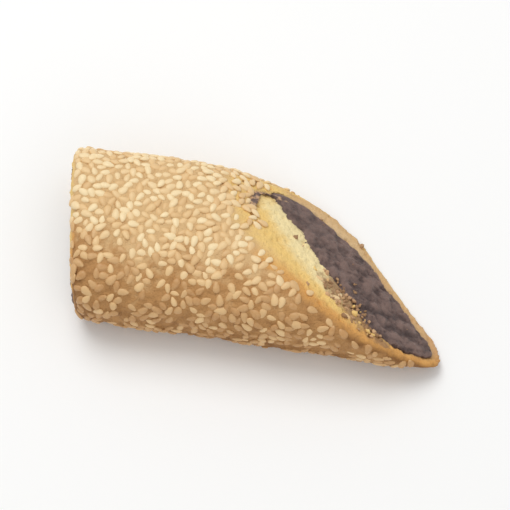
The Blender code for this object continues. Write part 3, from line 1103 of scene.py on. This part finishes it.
def date_paste(colours):
    """Date paste: dark and sticky, with a soft broken shine on its lumps and torn fibres, painted light on
    its raised lumps and painted shade in its hollows.
    """
    material, tree, shader = new_material("date_paste")
    lumps, fibres = pattern(tree, 2.6, detail=4.0), pattern(tree, 0.5, detail=4.0, roughness=0.7)
    relief, fullness = (
        node(tree, SHOWN, attribute_name=name, out="Fac") for name in ("relief", "fullness")
    )
    # Painted light and shade: lighter where the relief stands out and darker in its hollows, over an uneven
    # tone of lumps and fibres.
    raised = node(tree, RANGE, relief, -0.5 * MM, 0.5 * MM, 0.0, 1.0, **SMOOTH)
    light = node(tree, MATH, lumps, raised, operation="ADD")
    light = node(tree, MATH, light, 0.5, operation="MULTIPLY")
    light = node(tree, MATH, light, node(tree, MATH, fibres, 0.3, operation="MULTIPLY"), operation="ADD")
    shade = layered(tree, colours.paste_dark, [(colours.paste_light, light, 0.3, 0.95, 1.0)])
    # Where it thins to a tail the paste is a smear, and crumbs of dough show through it in specks.
    thin = node(tree, RANGE, fullness, 0.03, 0.005, 0.0, 1.0, **SMOOTH)
    speck = node(tree, RANGE, pattern(tree, 1.3), 0.35, 0.7, 0.0, 1.0, **SMOOTH)
    speck = node(tree, MATH, thin, speck, operation="MULTIPLY")
    values = {
        "Base Color": node(tree, MIX, speck, inputs={6: shade, 7: colours.crumb_tan}, **IN_COLOUR),
        "Roughness": node(tree, RANGE, fibres, 0.2, 0.8, 0.34, 0.62, **SMOOTH),
        "Normal": node(tree, BUMP, inputs={"Strength": 1.0, "Distance": 0.16 * MM, "Height": fibres}),
        "Specular IOR Level": 0.5,
        "IOR": 1.48,
    }
    fill(tree, shader, values.items())
    return material


def loose_crumb(colours):
    """Crumbs of the baked dough: dry, from yellow to toasted brown."""
    material, tree, shader = new_material("dry_crumb")
    tone = node(tree, SHOWN, attribute_name="tone", out="Fac")
    layers = [(colours.crumb_tan, tone, 0.0, 0.25, 1.0), (colours.crumb_stained, tone, 0.3, 0.8, 1.0)]
    uneven = {"Strength": 1.0, "Distance": 0.08 * MM, "Height": pattern(tree, 0.3)}
    values = {
        "Base Color": layered(tree, colours.crumb_yellow, layers),
        "Roughness": 0.75,
        "Normal": node(tree, BUMP, inputs=uneven),
    }
    fill(tree, shader, values.items())
    return material


def matt_card(colours):
    """Matt white card: an even, pale floor with no gloss."""
    material, tree, shader = new_material("matt_card")
    mottle = node(tree, MATH, pattern(tree, 40.0), 0.01, operation="MULTIPLY")
    darker = tuple(0.97 * channel for channel in colours.floor)
    values = {
        "Base Color": node(tree, MIX, mottle, inputs={6: colours.floor, 7: darker}, **IN_COLOUR),
        "Roughness": 0.95,
        "Specular IOR Level": 0.1,
    }
    fill(tree, shader, values.items())
    return material


# Operators


class DATEBISCUIT_OT_sesame(Operator):
    """Sow sesame over the crust"""

    bl_idname = "date_biscuit.sesame"
    bl_label = "Sow Sesame"

    def execute(self, context):
        given = settings_of(context)
        shapes = [self.seed(given.sesame, plump, bend) for plump, bend in SEED_FORMS]
        sow(context, self.carrier(given), shapes, given.sesame, sesame_hull(given.colours))
        return {"FINISHED"}

    def carrier(self, given):
        """The crust and the bias cut, with how thickly each place is sown: on the cut, hardly at all."""
        roll, sesame = given.roll, given.sesame
        around, along, across = SOWN_STEPS
        crust = crust_rings(roll, np.linspace(0, 1, along), round_about(around))
        shares = np.linspace(OUTERMOST_SOWN, INNERMOST, across)
        rings = np.array([*crust, *cut_rings(roll, crust[-1], bias_cut, shares)])
        sheet = open_sheet("sesame_seeds", rings, roll_to_frame(roll, given.paste))
        point_outwards(sheet.data)
        points = rings.reshape(-1, 3)
        _, y, z = points.T
        from_square, from_bias = from_cuts(roll, points)
        bare = sesame.bare_edge + LOW_BARE * smooth_step(7 * MM, 3 * MM, z)
        edge = smooth_step(bare, bare + BARE_FADE, np.minimum(from_square, from_bias))
        over_lip = smooth_step(0, 8 * MM, y) * smooth_step(9 * MM, 13 * MM, z)
        edge = np.maximum(edge, over_lip * smooth_step(0, 0.5 * MM, from_square))
        front = smooth_step(-0.1, -0.8, y / roll.half_width)
        base = smooth_step(1.2 * MM, 0.6 * MM, z)
        patchy = np.clip(SOW_LEVEL + SOW_SWING * noise_at(points, SOW_PATCH), 0, 1)
        sown = edge * (1 - FEWER_IN_FRONT * front) * (1 - FEWER_BELOW * base) * patchy
        # At the back the seeds were dragged over the rim, and a few have fallen on the cut beside the paste.
        dragged = over_lip * smooth_step(2.6 * MM, 1.2 * MM, depth_inside(roll, points, crust[-1]))
        fallen = sesame.stray * smooth_step(-4 * MM, -8 * MM, y) * smooth_step(10.5 * MM, 12 * MM, z)
        sown = np.where(from_bias < ON_CUT, np.maximum(dragged, fallen), sown)
        toast = toast_and_shade_of(roll, given.baking, points, rims_of(roll, RIM_STEPS))
        # Seeds take the crust's toasting and painted shade, and in front a painted shade of their own.
        set_attributes(sheet.data, sow=sown, baked=TONE_OF_TOAST * toast + FRONT_SHADE_ON_SEEDS * front)
        return sheet

    def seed(self, sesame, plump, bend):
        """One seed: a flat drop with a rounded end and a pointed one."""
        bm = bmesh.new()
        bmesh.ops.create_uvsphere(bm, u_segments=SEED_SIDES, v_segments=SEED_RINGS, radius=1.0)
        towards_tip = []
        for vertex in bm.verts:
            across, up, ahead = vertex.co
            towards_tip.append(ahead)
            width = across * (1 - sesame.taper * ahead) * plump * sesame.seed_width / 2
            thickness = up * (1 - THICKNESS_TAPER * sesame.taper * ahead) * sesame.seed_thickness / 2
            ahead += bend * across
            vertex.co = (ahead * sesame.seed_length / 2, width, thickness)
        bmesh.ops.recalc_face_normals(bm, faces=bm.faces)
        mesh = mesh_of("sesame_seed", bm)
        set_attributes(mesh, towards_tip=towards_tip)
        return mesh


class DATEBISCUIT_OT_dough(Operator):
    """Build the baked dough round the place of the paste"""

    bl_idname = "date_biscuit.dough"
    bl_label = "Build Dough"

    def execute(self, context):
        given = settings_of(context)
        roll, paste, relief = given.roll, given.paste, given.relief
        around, along, across = DOUGH_STEPS
        crust = crust_rings(roll, np.linspace(0, 1, along), round_about(around))
        shares = np.linspace(INNERMOST, 1, across, endpoint=False)
        rings = cut_rings(roll, crust[0], square_cut, shares) + list(crust)
        rings += cut_rings(roll, crust[-1], bias_cut, shares[::-1])
        dough = lofted("baked_dough", rings)
        self.open_place_of_paste(dough, roll, paste)
        remesh(dough, relief.voxel)
        self.measure(dough.data, given)
        dough.data.transform(Matrix.Translation(roll_to_frame(roll, paste)))
        material = baked_dough(given.colours)
        values = {"seeds": bpy.data.objects["sesame_seeds"], "finish": material}
        run_tree(dough, dough_relief_tree(), {**values, **values_of(relief, DOUGH_RELIEF)})
        finish_piece(dough, material, ["sesame_dough"])
        return {"FINISHED"}

    def open_place_of_paste(self, dough, roll, paste):
        """Cuts out the place that the paste fills, right through the roll."""
        shares = np.linspace(0, 1, PLACE_STEPS)
        overruns = np.concatenate(([-PLACE_OVERRUN], np.zeros(PLACE_STEPS - 2), [PLACE_OVERRUN]))
        stations = [(along, overrun, 0.0) for along, overrun in zip(shares, overruns)]
        hole = lofted("paste_place", paste_rings(roll, paste, stations))
        cut = dough.modifiers.new("cut", "BOOLEAN")
        cut.operation = "DIFFERENCE"
        cut.solver = "EXACT"
        cut.object = hole
        apply_modifiers(dough)
        remove_all([hole])

    def measure(self, mesh, given):
        """Stores what the relief and the finish need to know about each point of the dough."""
        roll = given.roll
        points = points_of(mesh)
        _, y, z = points.T
        rims = rims_of(roll, RIM_STEPS)
        slopes = cut_slopes(roll)
        distances = from_cuts(roll, points)
        depths = [depth_inside(roll, points, rim) for rim in rims]
        near = [smooth_step(1.6 * MM, 0.7 * MM, distance) for distance in distances]
        faces = [smooth_step(-0.1 * MM, 0.3 * MM, depth) * close for depth, close in zip(depths, near)]
        cut_face = np.maximum(*faces)
        # On a cut the depth counts inwards from the rim. On the crust it counts back from it, below zero.
        back_from_rim = [distance * slope for distance, slope in zip(distances, slopes)]
        back_from_rim[1] /= math.hypot(1, roll.bias_cut_plan)
        narrower = 1 + BACK_NARROWER * smooth_step(4 * MM, 14 * MM, y)
        inward = np.maximum(np.where(faces[0] > faces[1], *depths), 0)
        outward = np.minimum(SQUARE_NARROWER * back_from_rim[0], narrower * back_from_rim[1])
        over_lip = smooth_step(0, 8 * MM, y) * smooth_step(9 * MM, 12 * MM, z) * faces[1]
        skin_depth = cut_face * inward - (1 - cut_face) * np.maximum(outward, 0) - LIP_STEP * over_lip
        to_paste, _ = nearest_on_paste(given.paste, points)
        # Paste is smeared above the band's front end, and the dough under the band reaches up at the back.
        above = smooth_step(9 * MM, 11 * MM, z)
        smeared = above * smooth_step(0, -6 * MM, y) * smooth_step(5.5 * MM, 1.5 * MM, to_paste)
        height = z - UNDER_SLOPE * np.maximum(y, 0)
        under = smooth_step(6 * MM, 2 * MM, height) * smooth_step(-19 * MM, -11 * MM, y)
        set_attributes(
            mesh,
            cut_face=cut_face,
            skin_depth=skin_depth,
            paste_distance=to_paste,
            swollen=cut_face * smooth_step(0, 3 * MM, skin_depth) * smooth_step(0, 2.5 * MM, to_paste),
            liftable=(1 - cut_face) * smooth_step(0.4 * MM, 2 * MM, np.minimum(*back_from_rim)),
            smeared=faces[1] * smeared,
            under_paste=cut_face * under,
            toast=toast_and_shade_of(roll, given.baking, points, rims),
            browned=smooth_step(2 * MM, -15 * MM, y),
        )


class DATEBISCUIT_OT_paste(Operator):
    """Build the date paste"""

    bl_idname = "date_biscuit.paste"
    bl_label = "Build Date Paste"

    def execute(self, context):
        given = settings_of(context)
        roll, paste, relief = given.roll, given.paste, given.relief
        square_slope, bias_slope = cut_slopes(roll)
        swells = [
            (paste.bulge * (2 * math.sin(a) - 1), paste.overlap - paste.edge_inset * (1 - math.cos(a)))
            for a in np.linspace(0, math.pi / 2, END_STEPS)
        ]
        stations = [(0.0, -overrun * square_slope, grow) for overrun, grow in swells[::-1]]
        stations += [(along, 0.0, paste.overlap) for along in np.linspace(0, 1, PASTE_STEPS)[1:-1]]
        stations += [(1.0, overrun * bias_slope, grow) for overrun, grow in swells]
        filling = lofted("date_paste", paste_rings(roll, paste, stations))
        remesh(filling, relief.paste_voxel)
        _, fullness = nearest_on_paste(paste, points_of(filling.data))
        set_attributes(filling.data, fullness=fullness**2)
        filling.data.transform(Matrix.Translation(roll_to_frame(roll, paste)))
        material = date_paste(given.colours)
        run_tree(filling, paste_relief_tree(), {"finish": material, **values_of(relief, PASTE_RELIEF)})
        finish_piece(filling, material, ["date_filling"])
        return {"FINISHED"}


class DATEBISCUIT_OT_crumbs(Operator):
    """Drop loose crumbs on the bias cut"""

    bl_idname = "date_biscuit.crumbs"
    bl_label = "Drop Crumbs"

    def execute(self, context):
        given = settings_of(context)
        shapes = [self.crumb(given.crumbs, kind) for kind in range(CRUMB_FORMS)]
        sow(context, self.carrier(given), shapes, given.crumbs, loose_crumb(given.colours))
        return {"FINISHED"}

    def carrier(self, given):
        """The plane of the bias cut, with crumbs mostly above the front of the paste."""
        around, across = CRUMB_STEPS
        shares = np.linspace(INNERMOST, OUTERMOST_CRUMBS, across)
        rings = np.array(cut_rings(given.roll, rims_of(given.roll, around)[1], bias_cut, shares))
        sheet = open_sheet("loose_crumbs", rings, roll_to_frame(given.roll, given.paste))
        if sheet.data.polygons[0].normal.x < 0:
            sheet.data.flip_normals()
        points = rings.reshape(-1, 3)
        to_paste, _ = nearest_on_paste(given.paste, points)
        border = smooth_step(5.0 * MM, 2.0 * MM, to_paste)
        front = smooth_step(-1 * MM, -6 * MM, points[:, 1])
        above = smooth_step(10 * MM, 11 * MM, points[:, 2])
        set_attributes(sheet.data, sow=STRAY_CRUMBS + STUCK_CRUMBS * border * front * above)
        return sheet

    def crumb(self, crumbs, kind):
        """One angular crumb."""
        bm = bmesh.new()
        bmesh.ops.create_icosphere(bm, subdivisions=2, radius=crumbs.size / 2)
        for vertex in bm.verts:
            place = vertex.co / (CRUMB_LUMP * crumbs.size) + Vector((CRUMB_STEP * kind, 0, 0))
            vertex.co *= 1 + CRUMB_ROUGHNESS * noise.noise(place)
            vertex.co.z *= CRUMB_FLATNESS
        return mesh_of("crumb", bm)


class DATEBISCUIT_OT_stage(Operator):
    """Lay the floor and set the lights and the camera"""

    bl_idname = "date_biscuit.stage"
    bl_label = "Set Stage"

    def execute(self, context):
        given = settings_of(context)
        stage = given.stage
        middle = (Vector(CAD_BOX[0]) + Vector(CAD_BOX[1])) / 2
        self.floor(stage, given.colours)
        self.light("key_light", Vector(KEY_PLACE), middle, stage.key_power, KEY_SIDE)
        self.light("fill_light", Vector(FILL_PLACE), middle, stage.fill_power, FILL_SIDE)
        self.sky(context, stage)
        self.camera(context, stage, middle)
        return {"FINISHED"}

    def floor(self, stage, colours):
        """One large square of card."""
        bm = bmesh.new()
        bmesh.ops.create_grid(bm, x_segments=1, y_segments=1, size=stage.floor_side / 2)
        mesh = mesh_of("floor", bm)
        mesh.materials.append(matt_card(colours))
        linked("floor", mesh)

    def light(self, name, place, target, power, side):
        """A soft round lamp at a place, aimed at a target."""
        lamp = bpy.data.lights.new(name, "AREA")
        lamp.energy = power
        lamp.shape = "DISK"
        lamp.size = side
        self.aimed(name, lamp, place, target - place)

    def sky(self, context, stage):
        """Even white light from all round."""
        world = bpy.data.worlds.new("soft_sky")
        world.use_nodes = True
        values = {"Color": (1, 1, 1), "Strength": stage.sky}
        fill(world.node_tree, world.node_tree.nodes["Background"], values.items())
        context.scene.world = world
        context.scene.view_settings.view_transform = "Standard"

    def camera(self, context, stage, middle):
        """A camera at the photo's viewing angle, aimed at the middle of the biscuit."""
        flat = math.cos(stage.elevation)
        x, y = math.sin(stage.azimuth) * flat, -math.cos(stage.azimuth) * flat
        back = Vector((x, y, math.sin(stage.elevation)))
        data = bpy.data.cameras.new("photo_camera")
        data.lens = stage.lens
        context.scene.camera = self.aimed("photo_camera", data, middle + back * stage.distance, -back)

    def aimed(self, name, data, place, direction):
        """A lamp or a camera at a place, looking in a direction."""
        obj = linked(name, data)
        obj.location = place
        obj.rotation_euler = direction.to_track_quat("-Z", "Y").to_euler()
        return obj


OPERATORS = (
    DATEBISCUIT_OT_sesame,
    DATEBISCUIT_OT_dough,
    DATEBISCUIT_OT_paste,
    DATEBISCUIT_OT_crumbs,
    DATEBISCUIT_OT_stage,
)


class DATEBISCUIT_PT_panel(Panel):
    """Lists the sizes and colours, and the steps that build the biscuit"""

    bl_idname = "DATEBISCUIT_PT_panel"
    bl_label = "Date Biscuit"
    bl_space_type = "VIEW_3D"
    bl_region_type = "UI"
    bl_category = "Biscuit"

    def draw(self, context):
        given = settings_of(context)
        for part in DateBiscuit.__annotations__:
            group = getattr(given, part)
            box = self.layout.box()
            box.label(text=part.capitalize())
            for name in type(group).__annotations__:
                box.prop(group, name)
        for operator in OPERATORS:
            self.layout.operator(operator.bl_idname)


CLASSES = (
    RollSizes,
    BakingStrengths,
    PasteSizes,
    ReliefSizes,
    SesameSizes,
    CrumbSizes,
    BiscuitColours,
    StageSizes,
    DateBiscuit,
    *OPERATORS,
    DATEBISCUIT_PT_panel,
)


def register():
    """Adds the classes to Blender, and the sizes and colours to the scene."""
    for made in CLASSES:
        bpy.utils.register_class(made)
    bpy.types.Scene.date_biscuit = PointerProperty(type=DateBiscuit)


def unregister():
    """Takes away what register adds."""
    del bpy.types.Scene.date_biscuit
    for made in reversed(CLASSES):
        bpy.utils.unregister_class(made)


def main():
    """Builds every piece and the stage."""
    register()
    bpy.ops.date_biscuit.sesame()
    bpy.ops.date_biscuit.dough()
    bpy.ops.date_biscuit.paste()
    bpy.ops.date_biscuit.crumbs()
    bpy.ops.date_biscuit.stage()


if __name__ == "__main__":
    main()
